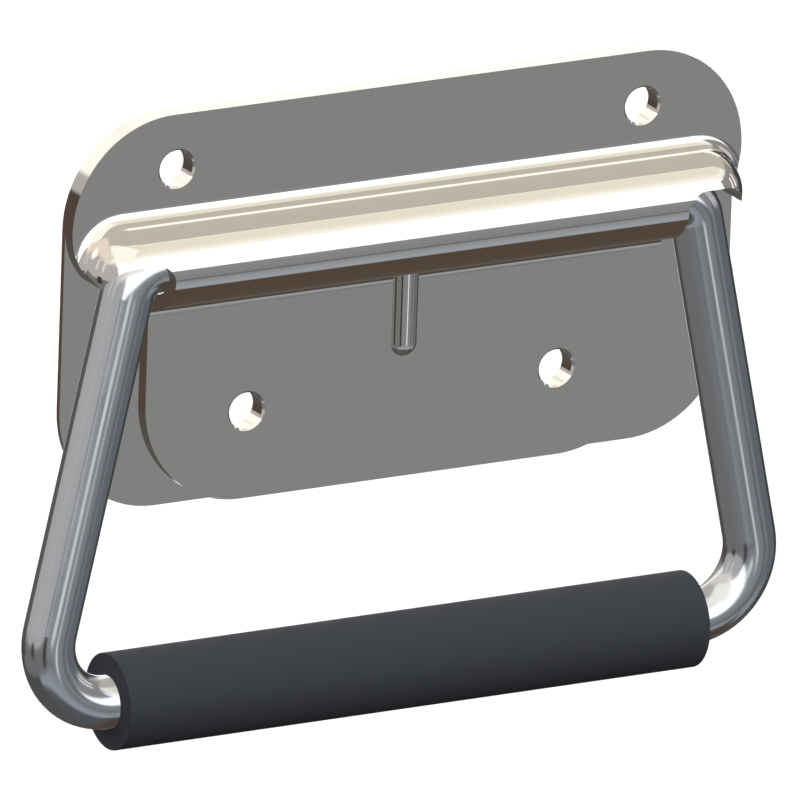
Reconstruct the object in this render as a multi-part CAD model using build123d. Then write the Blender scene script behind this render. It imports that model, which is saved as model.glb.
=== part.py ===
"""Surface-mounted folding pull handle: a pressed plate with a half-round hood, a plain back
plate, a bent-rod bail with a rubber grip, and the torsion spring that folds the bail down.

Millimetres. X runs along the hood, +Z is up and the front faces -Y. The origin lies on the
back of the back plate, midway between the two upper screw holes.
"""
import os
from math import asin, atan2, cos, degrees, radians, sqrt, tan

from build123d import *

# ---- driving dimensions (mm) ----------------------------------------------------------
# Plates
PLATE_WIDTH = 109.6          # both plates, over their upper part
PLATE_TOP = 8.2              # top edge above the upper screw line
PLATE_BOTTOM = 51.25         # bottom edge below the upper screw line
CORNER_RADIUS = 16.0         # every outer corner of both plates
FRONT_SHEET = 2.2            # sheet of the pressed front plate
BACK_SHEET = 0.9             # sheet of the back plate
SKIRT_GAP = 3.9              # arms' centre lines, at the hinge axis, to the skirt's edge

# Screw holes
UPPER_SPACING = 76.2
LOWER_SPACING = 50.8
LOWER_DROP = 38.1            # lower screw line below the upper one
HOLE_DIAMETER = 5.4
HOLE_EDGE_BREAK = 0.3        # countersunk edge round each front hole

# Bail
ROD_DIAMETER = 7.8
BAIL_DROP = 65.05            # hinge axis to the axis of the grip
ARM_INSET = 8.9              # arms' centre lines, at the hinge axis, inside the plate's edge
ARM_SPLAY = 12.2             # degrees that each arm leans outwards
TOP_BEND_RADIUS = 4.8        # centre line
BOTTOM_BEND_RADIUS = 9.8     # centre line
ROD_END_CHAMFER = 0.5
OPEN_ANGLE = 65.0            # degrees that the bail opens before it meets the notches

# Hood
HINGE_DROP = 13.55           # hinge axis below the upper screw line
HINGE_CLEARANCE = 0.1        # round the rod, to the hood and to the back plate
HOOD_FOOT_RADIUS = 2.0       # concave radius between the hood and the plate's face
HOOD_INSET = 7.7             # start of each domed end inside the plate's edge
NOTCH_RISE = 2.0             # top edge of the arm notches above the hinge axis
NOTCH_CORNER_RADIUS = 3.0
NOTCH_CLEARANCE = 0.2        # coined inside the notches, round the open bail
NOTCH_LEAD = 0.5             # length of the coining before each bend begins
NOTCH_INSET = 6.8            # end of a notch's level top edge inside the plate's edge
EAR_RADIUS = 12.0            # rim of the ear that closes each end of the hood
EAR_DROP = 7.1               # tip of the ear below the end of the plate's corner

# Rib that houses the leg of the spring
RIB_RADIUS = 2.05
RIB_SINK = 0.3               # centre of the rib's round behind the plate's face
RIB_BOTTOM = 33.0            # lower end of the rib below the upper screw line
RIB_WALL_BACK = 1.6          # radius of the pocket pressed into the rear face

# Grip
GRIP_DIAMETER = 14.2
GRIP_END_GAP = 0.2           # each end of the grip to the bend beside it
GRIP_STRETCH = 0.05          # the bore is this much smaller than the rod, on the radius
GRIP_EDGE = 0.15

# Return spring
WIRE_DIAMETER = 1.3
SPRING_TURNS = 3.5
SPRING_PITCH = 1.5
SPRING_LEG_GAP = 1.0         # between the end of the leg and the end of its pocket
SPRING_END_GAP = 0.6         # between the coil and either end of the rod
TANG_LENGTH = 6.0            # end of the wire that lies in the rod's groove
TANG_CLEARANCE = 0.1

# ---- places that follow from them -----------------------------------------------------
rod_radius = ROD_DIAMETER / 2
wire_radius = WIRE_DIAMETER / 2
face_y = -(BACK_SHEET + FRONT_SHEET)                     # front face of the front plate
seam_y = -BACK_SHEET                                     # where the two plates meet
hinge_y = seam_y - HINGE_CLEARANCE - rod_radius
hinge_z = -HINGE_DROP
grip_z = hinge_z - BAIL_DROP
arm_top_x = PLATE_WIDTH / 2 - ARM_INSET                  # corners of the bail's centre line
arm_bottom_x = arm_top_x + BAIL_DROP * tan(radians(ARM_SPLAY))
top_bend_x = arm_top_x - TOP_BEND_RADIUS * tan(radians(90 - ARM_SPLAY) / 2)
bottom_bend_x = arm_bottom_x - BOTTOM_BEND_RADIUS * tan(radians(90 + ARM_SPLAY) / 2)
grip_length = 2 * (bottom_bend_x - GRIP_END_GAP)
hood_inner_radius = rod_radius + HINGE_CLEARANCE
hood_outer_radius = hood_inner_radius + FRONT_SHEET
foot_y = face_y - HOOD_FOOT_RADIUS                       # centre of the foot radius
foot_reach = sqrt((hood_outer_radius + HOOD_FOOT_RADIUS) ** 2 - (foot_y - hinge_y) ** 2)
hood_end_x = PLATE_WIDTH / 2 - HOOD_INSET
notch_top_z = hinge_z + NOTCH_RISE
coil_radius = rod_radius - wire_radius                   # centre line of the wire
coil_length = SPRING_TURNS * SPRING_PITCH
coil_start_x = 0.0
rod_left_end = coil_start_x - wire_radius - SPRING_END_GAP
rod_right_end = coil_start_x + coil_length + wire_radius + SPRING_END_GAP
FAR = 40.0                                               # past every face of the part


def front_plane(y):
    """The plane of constant y, drawn in X and Z and facing forward."""
    return Plane.XZ.offset(-y)


def screw_holes():
    """Cutters for the four screw holes, through both plates."""
    cutters = []
    for spacing, z in ((UPPER_SPACING, 0.0), (LOWER_SPACING, -LOWER_DROP)):
        for side in (-1, 1):
            centre = front_plane(FAR) * Pos(side * spacing / 2, z)
            cutters.append(extrude(centre * Circle(HOLE_DIAMETER / 2), 2 * FAR))
    return cutters


def hole_edge_breaks():
    """Cones that break the front edge of each screw hole."""
    cones = []
    for spacing, z in ((UPPER_SPACING, 0.0), (LOWER_SPACING, -LOWER_DROP)):
        for side in (-1, 1):
            rim = front_plane(face_y) * Pos(side * spacing / 2, z)
            cone = Cone(HOLE_DIAMETER / 2, HOLE_DIAMETER / 2 + HOLE_EDGE_BREAK, HOLE_EDGE_BREAK,
                        align=(Align.CENTER, Align.CENTER, Align.MAX))
            cones.append(rim * cone)
    return cones


def front_outline():
    """Outline of the front plate: full width above, notched for the arms, narrow below."""
    half = PLATE_WIDTH / 2
    skirt = arm_top_x - SKIRT_GAP
    corner_z = PLATE_TOP - CORNER_RADIUS
    ear_centre = (half - EAR_RADIUS, corner_z)
    ear_angle = -degrees(asin(EAR_DROP / EAR_RADIUS))
    tip = (ear_centre[0] + EAR_RADIUS * cos(radians(ear_angle)), corner_z - EAR_DROP)
    level_end = (half - NOTCH_INSET, notch_top_z)
    inner_corner = (skirt + NOTCH_CORNER_RADIUS, notch_top_z - NOTCH_CORNER_RADIUS)
    right = [
        Line((0, PLATE_TOP), (half - CORNER_RADIUS, PLATE_TOP)),
        CenterArc((half - CORNER_RADIUS, corner_z), CORNER_RADIUS, 90, -90),
        CenterArc(ear_centre, EAR_RADIUS, 0, ear_angle),
        TangentArc(level_end, tip, tangent=(1, 0)),
        Line((inner_corner[0], notch_top_z), level_end),
        CenterArc(inner_corner, NOTCH_CORNER_RADIUS, 90, 90),
        Line((skirt, inner_corner[1]), (skirt, CORNER_RADIUS - PLATE_BOTTOM)),
        CenterArc((skirt - CORNER_RADIUS, CORNER_RADIUS - PLATE_BOTTOM), CORNER_RADIUS, 0, -90),
        Line((skirt - CORNER_RADIUS, -PLATE_BOTTOM), (0, -PLATE_BOTTOM)),
        Line((0, -PLATE_BOTTOM), (0, PLATE_TOP)),
    ]
    half_face = make_face(right)
    return half_face + mirror(half_face, about=Plane.YZ)


def hood_form(shell_radius, foot_radius):
    """Solid under the hood's skin: a half-round bar with domed ends and a flared foot.

    The half section is drawn with X as the distance from the hinge axis and Y as depth.
    """
    join = degrees(atan2(foot_y - hinge_y, foot_reach))
    foot_end_y = foot_y + foot_radius
    edges = [
        CenterArc((0, hinge_y), shell_radius, -90, 90 + join),
        CenterArc((foot_reach, foot_y), foot_radius, 180 + join, -90 - join),
        Line((0, seam_y), (0, hinge_y - shell_radius)),
        Line((0, seam_y), (foot_reach, seam_y)),
    ]
    if foot_end_y < seam_y:
        edges.append(Line((foot_reach, seam_y), (foot_reach, foot_end_y)))
    half_section = make_face(edges)
    section = half_section + mirror(half_section, about=Plane.YZ)
    bar = Rot(0, 90, 0) * extrude(section, hood_end_x, both=True)
    dome = revolve(half_section, Axis.Y)
    form = bar + Pos(-hood_end_x, 0, 0) * dome + Pos(hood_end_x, 0, 0) * dome
    return Pos(0, 0, hinge_z) * form


def round_bar(radius, y, z_top, z_bottom):
    """Upright round bar at X = 0 with a ball end at the bottom."""
    centre_bottom = z_bottom + radius
    bar = Pos(0, y, centre_bottom) * Cylinder(
        radius, z_top - centre_bottom, align=(Align.CENTER, Align.CENTER, Align.MIN))
    return bar + Pos(0, y, centre_bottom) * Sphere(radius)


def bent_bar(radius, x_right, x_left):
    """Round bar along the bail's centre line, folded down, between two ends in the hood."""
    route = front_plane(hinge_y) * FilletPolyline(
        (x_right, hinge_z), (arm_top_x, hinge_z), (arm_bottom_x, grip_z),
        (-arm_bottom_x, grip_z), (-arm_top_x, hinge_z), (x_left, hinge_z),
        radius=[TOP_BEND_RADIUS, BOTTOM_BEND_RADIUS, BOTTOM_BEND_RADIUS, TOP_BEND_RADIUS])
    start = Plane(origin=(x_right, hinge_y, hinge_z), z_dir=(1, 0, 0))
    return sweep(start * Circle(radius), path=route)


def make_front_plate():
    """One pressed sheet: hood, ears, arm notches, spring rib and screw holes."""
    outline = front_outline()
    sheet = extrude(front_plane(seam_y) * outline, FRONT_SHEET)
    blank = extrude(front_plane(seam_y) * outline, FAR)
    rib = round_bar(RIB_RADIUS, face_y + RIB_SINK, hinge_z, -RIB_BOTTOM)
    pocket_bottom = RIB_BOTTOM - RIB_RADIUS + RIB_WALL_BACK
    pocket = round_bar(RIB_WALL_BACK, seam_y, hinge_z, -pocket_bottom)
    plate = sheet + hood_form(hood_outer_radius, HOOD_FOOT_RADIUS) + rib
    plate = plate & blank
    plate = plate - hood_form(hood_inner_radius, HOOD_FOOT_RADIUS + FRONT_SHEET) - pocket
    # The open bail, a little fattened from its bends outwards, relieves the notches' inner edges.
    coined_x = top_bend_x - NOTCH_LEAD
    open_bail = bent_bar(rod_radius + NOTCH_CLEARANCE, coined_x, -coined_x)
    open_bail = open_bail.rotate(Axis((0, hinge_y, hinge_z), (-1, 0, 0)), OPEN_ANGLE)
    return plate - open_bail - screw_holes() - hole_edge_breaks()


def make_back_plate():
    """Flat sheet behind the whole handle, which closes the hood from the rear."""
    height = PLATE_TOP + PLATE_BOTTOM
    outline = Pos(0, (PLATE_TOP - PLATE_BOTTOM) / 2) * RectangleRounded(
        PLATE_WIDTH, height, CORNER_RADIUS)
    return extrude(front_plane(0) * outline, BACK_SHEET) - screw_holes()


def make_bail_rod():
    """One round rod bent into the bail; its two ends lie in the hood, either side of the coil."""
    rod = bent_bar(rod_radius, rod_right_end, rod_left_end)
    ends = rod.faces().filter_by(GeomType.PLANE).edges()
    rod = chamfer(ends, ROD_END_CHAMFER)
    groove = Pos(rod_right_end, hinge_y - coil_radius, hinge_z) * Rot(0, 90, 0) * Cylinder(
        wire_radius + TANG_CLEARANCE, 2 * (TANG_LENGTH + TANG_CLEARANCE))
    return rod - groove


def make_grip_sleeve():
    """Rubber tube stretched over the bottom bar of the bail, cut square at both ends."""
    tube = Cylinder(GRIP_DIAMETER / 2, grip_length)
    tube = fillet(tube.edges().filter_by(GeomType.CIRCLE), GRIP_EDGE)
    tube -= Cylinder(rod_radius - GRIP_STRETCH, grip_length)
    return Pos(0, hinge_y, grip_z) * Rot(0, 90, 0) * tube


def make_return_spring():
    """Torsion spring: a coil between the rod's ends, one leg in the rib, one tang in the rod."""
    coil_path = Helix(pitch=SPRING_PITCH, height=coil_length, radius=coil_radius)
    start = Plane(origin=coil_path @ 0, z_dir=coil_path % 0)
    coil = sweep(start * Circle(wire_radius), path=coil_path, is_frenet=True)
    # The helix starts on its own +X side, which is turned to the rear of the hood, so that
    # the leg runs straight up into the coil.
    coil = Plane(origin=(coil_start_x, hinge_y, hinge_z), x_dir=(0, 1, 0), z_dir=(1, 0, 0)) * coil
    leg_bottom = -(RIB_BOTTOM - RIB_RADIUS + RIB_WALL_BACK) + SPRING_LEG_GAP
    leg = round_bar(wire_radius, hinge_y + coil_radius, hinge_z, leg_bottom)
    tang_x = coil_start_x + coil_length
    tang_reach = rod_right_end + TANG_LENGTH - tang_x
    tang = Pos(tang_x, hinge_y - coil_radius, hinge_z) * Rot(0, 90, 0) * Cylinder(
        wire_radius, tang_reach, align=(Align.CENTER, Align.CENTER, Align.MIN))
    joint = Pos(tang_x, hinge_y - coil_radius, hinge_z) * Sphere(wire_radius)
    top = Pos(coil_start_x, hinge_y + coil_radius, hinge_z) * Sphere(wire_radius)
    return coil + top + leg + joint + tang


os.makedirs("parts", exist_ok=True)
for node, make in {
    "front_plate": make_front_plate,
    "back_plate": make_back_plate,
    "bail_rod": make_bail_rod,
    "grip_sleeve": make_grip_sleeve,
    "return_spring": make_return_spring,
}.items():
    export_step(make(), f"parts/{node}.step")

print("hinge axis at y", round(hinge_y, 3), "z", round(hinge_z, 3))
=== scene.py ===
"""Surface-mounted folding pull handle in polished stainless steel with a black rubber grip."""
import math

import bpy
from mathutils import Matrix, Vector


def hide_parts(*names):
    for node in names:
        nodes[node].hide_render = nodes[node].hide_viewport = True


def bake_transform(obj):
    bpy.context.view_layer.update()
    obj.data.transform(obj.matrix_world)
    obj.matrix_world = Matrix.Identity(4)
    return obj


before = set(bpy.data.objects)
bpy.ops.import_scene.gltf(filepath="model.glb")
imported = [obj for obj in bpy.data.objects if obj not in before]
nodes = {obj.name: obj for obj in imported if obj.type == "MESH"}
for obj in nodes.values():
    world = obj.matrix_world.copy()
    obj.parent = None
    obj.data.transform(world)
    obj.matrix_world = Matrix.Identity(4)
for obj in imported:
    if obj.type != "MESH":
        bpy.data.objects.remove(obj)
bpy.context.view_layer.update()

# ---- Camera -------------------------------------------------------------------------
# A long lens, from the left and a little above, so that the hood, the notches and both
# arms show and the plate's edges stay nearly parallel.
AZIMUTH, ELEVATION, ROLL = -29.41, 18.17, 2.0       # degrees
LENS = 1600.0                                       # mm, on a 36 mm sensor
DISTANCE = 5.100                                    # metres from the aim point
AIM_RIGHT, AIM_UP = -0.001510, -0.03771             # aim from the upper screw line, in the view
FLAT_FACE_Y = -0.0031                               # flat front face of the upper plate
NEAR, FAR = 0.05, 50.0                              # metres that the camera sees between

turn = (Matrix.Rotation(math.radians(AZIMUTH), 3, "Z")
        @ Matrix.Rotation(math.radians(90 - ELEVATION), 3, "X")
        @ Matrix.Rotation(math.radians(ROLL), 3, "Z"))
aim = Vector((0, FLAT_FACE_Y, 0)) + turn @ Vector((AIM_RIGHT, AIM_UP, 0))
bpy.ops.object.camera_add(location=aim + turn @ Vector((0, 0, DISTANCE)), rotation=turn.to_euler())
camera = bpy.context.object
camera.data.lens = LENS
camera.data.clip_start, camera.data.clip_end = NEAR, FAR
bpy.context.scene.camera = camera
bpy.context.scene.view_settings.view_transform = "Standard"

# ---- Front plate --------------------------------------------------------------------
# One sheet of 304 stainless steel, blanked, pressed over a die for the hood and the rib,
# then buffed to a mirror. Buffing leaves faint haze and hairlines along the hood.
STAINLESS = "C9C9C8"
MIRROR_ROUGHNESS = (0.03, 0.06)       # buffed clean, and where the haze is thickest
HAZE_SIZE = 0.012                     # metres across one patch of haze
HAZE_RANGE = (0.35, 0.7)              # noise values between which the haze thickens
HAIRLINE_SPACING = 0.0006             # real lines are finer; drawn wide enough to show
HAIRLINE_STRETCH = 40                 # length of a hairline, in spacings
HAIRLINE_DEPTH = 0.000002
HAIRLINE_STRENGTH = 0.25


def linear(hex_colour):
    """An sRGB hex colour as linear red, green, blue and an alpha of 1."""
    channels = [int(hex_colour[i:i + 2], 16) / 255 for i in (0, 2, 4)]
    return [c / 12.92 if c <= 0.04045 else ((c + 0.055) / 1.055) ** 2.4 for c in channels] + [1]


def add_node(tree, kind, inputs=None, **settings):
    """Adds a shader node, sets its properties, and gives inputs, by name or number, a value or link."""
    node = tree.nodes.new(kind)
    for name, value in settings.items():
        setattr(node, name, value)
    for key, value in (inputs or {}).items():
        if isinstance(value, bpy.types.NodeSocket):
            tree.links.new(value, node.inputs[key])
        else:
            node.inputs[key].default_value = value
    return node


def new_material(name):
    """An empty node material and its tree."""
    material = bpy.data.materials.new(name)
    material.use_nodes = True
    material.node_tree.nodes.clear()
    return material, material.node_tree


def buffed_steel(name, colour, roughness, line_scale):
    """Polished stainless steel: haze varies the roughness, hairlines run where line_scale is low."""
    material, tree = new_material(name)
    place = add_node(tree, "ShaderNodeTexCoord").outputs["Object"]
    haze = add_node(tree, "ShaderNodeTexNoise",
                    {"Vector": place, "Scale": 1 / HAZE_SIZE, "Detail": 3.0}).outputs["Fac"]
    gloss = add_node(tree, "ShaderNodeMapRange",
                     {"Value": haze, "From Min": HAZE_RANGE[0], "From Max": HAZE_RANGE[1],
                      "To Min": roughness[0], "To Max": roughness[1]}).outputs["Result"]
    along = add_node(tree, "ShaderNodeMapping",
                     {"Vector": place, "Scale": line_scale}).outputs["Vector"]
    lines = add_node(tree, "ShaderNodeTexNoise",
                     {"Vector": along, "Scale": 1.0, "Detail": 2.0}).outputs["Fac"]
    bump = add_node(tree, "ShaderNodeBump",
                    {"Height": lines, "Strength": HAIRLINE_STRENGTH, "Distance": HAIRLINE_DEPTH})
    steel = add_node(tree, "ShaderNodeBsdfPrincipled",
                     {"Base Color": linear(colour), "Metallic": 1.0, "Roughness": gloss,
                      "Normal": bump.outputs["Normal"]})
    add_node(tree, "ShaderNodeOutputMaterial", {"Surface": steel.outputs["BSDF"]})
    return material


def dress(node_name, material):
    """Gives a CAD node one material all over, and keeps it out of the other pieces' mirrors."""
    slots = nodes[node_name].data.materials
    slots.clear()
    slots.append(material)
    nodes[node_name].visible_glossy = False


across_lines = 1 / HAIRLINE_SPACING
along_lines = across_lines / HAIRLINE_STRETCH
sheet_steel = buffed_steel("mirror_buffed_304_sheet", STAINLESS, MIRROR_ROUGHNESS,
                           (along_lines, across_lines, across_lines))
dress("front_plate", sheet_steel)

# ---- Back plate ---------------------------------------------------------------------
# A flat blank of the same stainless sheet, thinner, cut to the same upper outline. It closes
# the hood from the rear and is buffed like the front.
back_steel = buffed_steel("buffed_304_backing_sheet", STAINLESS, MIRROR_ROUGHNESS,
                          (along_lines, across_lines, across_lines))
dress("back_plate", back_steel)

# ---- Bail ---------------------------------------------------------------------------
# Drawn stainless rod, bent cold and polished after bending. The drawing lines follow the
# arms, and the polish is a little softer than on the sheet.
ROD_STEEL = "B9BDC4"
ROD_ROUGHNESS = (0.14, 0.20)
rod_steel = buffed_steel("polished_drawn_304_rod", ROD_STEEL, ROD_ROUGHNESS,
                         (across_lines, across_lines, along_lines))
dress("bail_rod", rod_steel)

# ---- Grip ---------------------------------------------------------------------------
# A length of extruded black rubber tube, cut square and stretched over the bar. Its skin is
# matte, with a very fine grain from the die.
RUBBER = "404348"
RUBBER_GRAIN = 0.00035                # metres; the real grain is finer, drawn so that it shows
RUBBER_GRAIN_DEPTH = 0.00001
RUBBER_GRAIN_STRENGTH = 0.35
RUBBER_PATCH = 1 / 60                 # metres across one patch of sheen
RUBBER_PATCH_RANGE = (0.35, 0.65)     # noise values between which the sheen fades
RUBBER_ROUGHNESS = (0.5, 0.62)
RUBBER_IOR = 1.5
RUBBER_GLOSS = 0.01                   # almost none, so that the skin stays matte

rubber, tree = new_material("matte_extruded_black_rubber")
place = add_node(tree, "ShaderNodeTexCoord").outputs["Object"]
grain = add_node(tree, "ShaderNodeTexNoise",
                 {"Vector": place, "Scale": 1 / RUBBER_GRAIN, "Detail": 2.0}).outputs["Fac"]
patches = add_node(tree, "ShaderNodeTexNoise",
                   {"Vector": place, "Scale": 1 / RUBBER_PATCH, "Detail": 2.0}).outputs["Fac"]
sheen = add_node(tree, "ShaderNodeMapRange",
                 {"Value": patches, "From Min": RUBBER_PATCH_RANGE[0],
                  "From Max": RUBBER_PATCH_RANGE[1],
                  "To Min": RUBBER_ROUGHNESS[0], "To Max": RUBBER_ROUGHNESS[1]})
bump = add_node(tree, "ShaderNodeBump",
                {"Height": grain, "Strength": RUBBER_GRAIN_STRENGTH,
                 "Distance": RUBBER_GRAIN_DEPTH})
skin = add_node(tree, "ShaderNodeBsdfPrincipled",
                {"Base Color": linear(RUBBER), "IOR": RUBBER_IOR, "Specular IOR Level": RUBBER_GLOSS,
                 "Roughness": sheen.outputs["Result"], "Normal": bump.outputs["Normal"]})
add_node(tree, "ShaderNodeOutputMaterial", {"Surface": skin.outputs["BSDF"]})
dress("grip_sleeve", rubber)

# ---- Return spring ------------------------------------------------------------------
# Bright stainless spring wire, as drawn, coiled inside the hood out of sight. On the real handle
# its leg stays in the plate's rib and its tang turns with the rod, winding up the coil; here it
# keeps one shape, as a welded copy of the CAD node, shaded smooth.
SPRING_STEEL = "B4B5B7"
SPRING_ROUGHNESS = (0.2, 0.3)
JOINED_WITHIN = 0.000001              # metres between corners that are one
SMOOTH_BELOW = 40                     # degrees between two faces

spring_steel = buffed_steel("bright_302_spring_wire", SPRING_STEEL, SPRING_ROUGHNESS,
                            (across_lines, across_lines, across_lines))
dress("return_spring", spring_steel)
wound_spring = bpy.data.objects.new("wound_spring", nodes["return_spring"].data.copy())
bpy.context.scene.collection.objects.link(wound_spring)
bpy.ops.object.select_all(action="DESELECT")
wound_spring.select_set(True)
bpy.context.view_layer.objects.active = wound_spring
bpy.ops.object.mode_set(mode="EDIT")
bpy.ops.mesh.select_all(action="SELECT")
bpy.ops.mesh.remove_doubles(threshold=JOINED_WITHIN)
bpy.ops.object.mode_set(mode="OBJECT")
bpy.ops.object.shade_smooth_by_angle(angle=math.radians(SMOOTH_BELOW))
wound_spring.visible_glossy = False
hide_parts("return_spring")
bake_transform(wound_spring)

# ---- Floor --------------------------------------------------------------------------
# A plain pale floor, well below the handle, which hangs where its screws would hold it. It is
# kept out of the steel's mirrors and throws no light up at the grip.
FLOOR_DROP = 0.16                     # below the upper screw line
FLOOR_HALF = 3.0
FLOOR_PAINT = "F4F5F9"
FLOOR_ROUGHNESS = 0.9

bpy.ops.object.select_all(action="DESELECT")
bpy.ops.mesh.primitive_plane_add(size=2 * FLOOR_HALF)
floor = bpy.context.object
floor.name = "floor"
floor.data.transform(Matrix.Translation((0, 0, -FLOOR_DROP)))
floor.visible_glossy = floor.visible_diffuse = False
matt_white, tree = new_material("matt_white_paint")
paint = add_node(tree, "ShaderNodeBsdfPrincipled",
                 {"Base Color": linear(FLOOR_PAINT), "Roughness": FLOOR_ROUGHNESS})
add_node(tree, "ShaderNodeOutputMaterial", {"Surface": paint.outputs["BSDF"]})
floor.data.materials.append(matt_white)

# ---- Studio light -------------------------------------------------------------------
# A soft studio, as the steel mirrors it: one wide soft box in front, a cream ceiling, side
# walls with narrow strip lights, a window behind, and a dark floor to set off the steel.
# Colours are as they look in the polished sheet. Directions are in degrees, with azimuth 0
# straight ahead of the plate and growing towards the handle's right. Matte surfaces are lit
# by a plainer sky of their own, and the camera sees plain white behind the handle.
SKY_STRENGTH = 1 / linear(STAINLESS)[1]
GLARE = 1.25                          # the pure white box, against plain white
FRONT_SKY = (                         # height of the direction, colour
    (-1.00, "535352"), (-0.80, "5A5A5A"), (-0.72, "999EA4"), (-0.62, "919599"),
    (-0.50, "8A8A8B"), (-0.45, "828282"), (-0.435, "646566"), (-0.41, "646566"),
    (-0.39, "80807F"), (-0.31, "80807F"), (-0.05, "878786"), (0.03, "8B8A89"),
    (0.06, "A79F98"), (0.50, "C9BFB2"), (0.66, "FBF7EA"), (0.78, "E8DFCC"), (1.00, "E5DBC8"))
BACK_SKY = (
    (-1.00, "535352"), (-0.30, "4A4440"), (-0.12, "5C5A58"), (0.00, "8C8780"),
    (0.25, "B0A89C"), (0.60, "BCB5A8"), (1.00, "BAB3A8"))
SKY_SPLIT = (-0.13, -0.11)            # where the front sky gives way to the back, in Y
SOFT_BOXES = (                        # azimuth, elevation, half width, half height, edge, colour
    (0, 22.5, 46, 20, 2, "FFFFFF"),             # wide soft box in front
    (-42, 60, 32, 24, 8, "FDF9EC"),             # ceiling panel above it
    (0, 82.8, 75, 0.8, 0.8, "F8F2E0"),          # ceiling joint
    (-100, 5, 48, 20, 6, "B0ABA8"),             # left wall
    (-118, 42, 34, 13, 8, "E4D6C8"),            # left wall, above the strips
    (-95, -29, 50, 13, 6, "72706D"),            # left wall, below
    (-112, 14, 3, 12, 5, "D6D2CE"),             # strip lights on it
    (-90, 14, 3, 12, 5, "D6D2CE"),
    (78, 14, 32, 20, 5, "8C8985"),              # right wall
    (77, 10, 2.5, 12, 3, "F6F4F2"),             # strip lights on it
    (90, 10, 2.5, 12, 3, "F6F4F2"),
    (95, -15, 35, 14, 8, "64666A"),             # right wall, below
    (124, -10, 19, 22, 6, "3C3B3A"),            # dark corner
    (153, -3, 8, 20, 3, "F6F5F3"),              # door behind, ajar
    (-148, -9, 8, 14, 3, "4E413A"),             # brown curtain
    (180, 27, 45, 7.5, 3, "FFFAEE"),            # window behind
    (-14, -8, 6, 6, 5, "DCDDDC"),               # low strip light
    (7, -20, 3.5, 6, 4, "E2E5E8"),              # and beside it
    (42, -18, 6, 13, 4, "63656A"),              # dark gaps between the panels
    (-44, -17, 6, 14, 4, "35322E"),
    (-99, -17, 7, 7, 4, "3C3935"),
    (106, -61, 38, 11, 4, "50443A"))            # brown mat under the hood
DIFFUSE_SKY = (                       # height of the direction, light on matte surfaces
    (-1.00, "0A0A0A"), (-0.10, "141414"), (0.12, "D2D2D4"), (1.00, "D2D2D4"))


def sky_ramp(tree, height, stops):
    """Colours by the height of the direction, from straight down at -1 to straight up at 1."""
    node = add_node(tree, "ShaderNodeValToRGB", {"Fac": height})
    ramp = node.color_ramp
    while len(ramp.elements) < len(stops):
        ramp.elements.new(0.5)
    for element, (level, colour) in zip(ramp.elements, stops):
        element.position = (level + 1) / 2
        element.color = linear(colour)
    return node.outputs["Color"]


def soft_box(tree, direction, sky, azimuth, elevation, half_width, half_height, edge, colour):
    """Lays one soft-edged rectangle of light over the sky so far."""
    facing = add_node(tree, "ShaderNodeMapping",
                      {"Vector": direction,
                       "Rotation": (math.radians(-elevation), 0, math.radians(azimuth))},
                      vector_type="TEXTURE")
    local = add_node(tree, "ShaderNodeSeparateXYZ", {"Vector": facing.outputs["Vector"]})
    mask = add_node(tree, "ShaderNodeMath", {0: local.outputs["Y"], 1: 0.0},
                    operation="LESS_THAN").outputs["Value"]
    for axis, half in (("X", half_width), ("Z", half_height)):
        across = add_node(tree, "ShaderNodeMath", {0: local.outputs[axis]}, operation="ABSOLUTE")
        inside = add_node(tree, "ShaderNodeMapRange",
                          {"Value": across.outputs["Value"],
                           "From Min": math.sin(math.radians(half - edge / 2)),
                           "From Max": math.sin(math.radians(half + edge / 2)),
                           "To Min": 1.0, "To Max": 0.0},
                          interpolation_type="SMOOTHSTEP")
        mask = add_node(tree, "ShaderNodeMath", {0: mask, 1: inside.outputs["Result"]},
                        operation="MULTIPLY").outputs["Value"]
    gain = GLARE if colour == "FFFFFF" else 1
    tint = [channel * gain for channel in linear(colour)]
    return add_node(tree, "ShaderNodeMix", {0: mask, 6: sky, 7: tint},
                    data_type="RGBA").outputs[2]


world = bpy.data.worlds.new("soft_studio")
bpy.context.scene.world = world
world.use_nodes = True
tree = world.node_tree
tree.nodes.clear()
direction = add_node(tree, "ShaderNodeTexCoord").outputs["Generated"]
parts = add_node(tree, "ShaderNodeSeparateXYZ", {"Vector": direction})
height = add_node(tree, "ShaderNodeMapRange",
                  {"Value": parts.outputs["Z"], "From Min": -1.0,
                   "From Max": 1.0}).outputs["Result"]
behind = add_node(tree, "ShaderNodeMapRange",
                  {"Value": parts.outputs["Y"], "From Min": SKY_SPLIT[0],
                   "From Max": SKY_SPLIT[1]}).outputs["Result"]
sky = add_node(tree, "ShaderNodeMix",
               {0: behind, 6: sky_ramp(tree, height, FRONT_SKY),
                7: sky_ramp(tree, height, BACK_SKY)}, data_type="RGBA").outputs[2]
for box in SOFT_BOXES:
    sky = soft_box(tree, direction, sky, *box)
rays = add_node(tree, "ShaderNodeLightPath")
sky = add_node(tree, "ShaderNodeMix",
               {0: rays.outputs["Is Diffuse Ray"], 6: sky,
                7: sky_ramp(tree, height, DIFFUSE_SKY)}, data_type="RGBA").outputs[2]
studio = add_node(tree, "ShaderNodeBackground", {"Color": sky, "Strength": SKY_STRENGTH})
white = add_node(tree, "ShaderNodeBackground", {"Color": (1, 1, 1, 1), "Strength": 1.0})
seen = add_node(tree, "ShaderNodeMixShader",
                {0: rays.outputs["Is Camera Ray"], 1: studio.outputs["Background"],
                 2: white.outputs["Background"]})
add_node(tree, "ShaderNodeOutputWorld", {"Surface": seen.outputs["Shader"]})
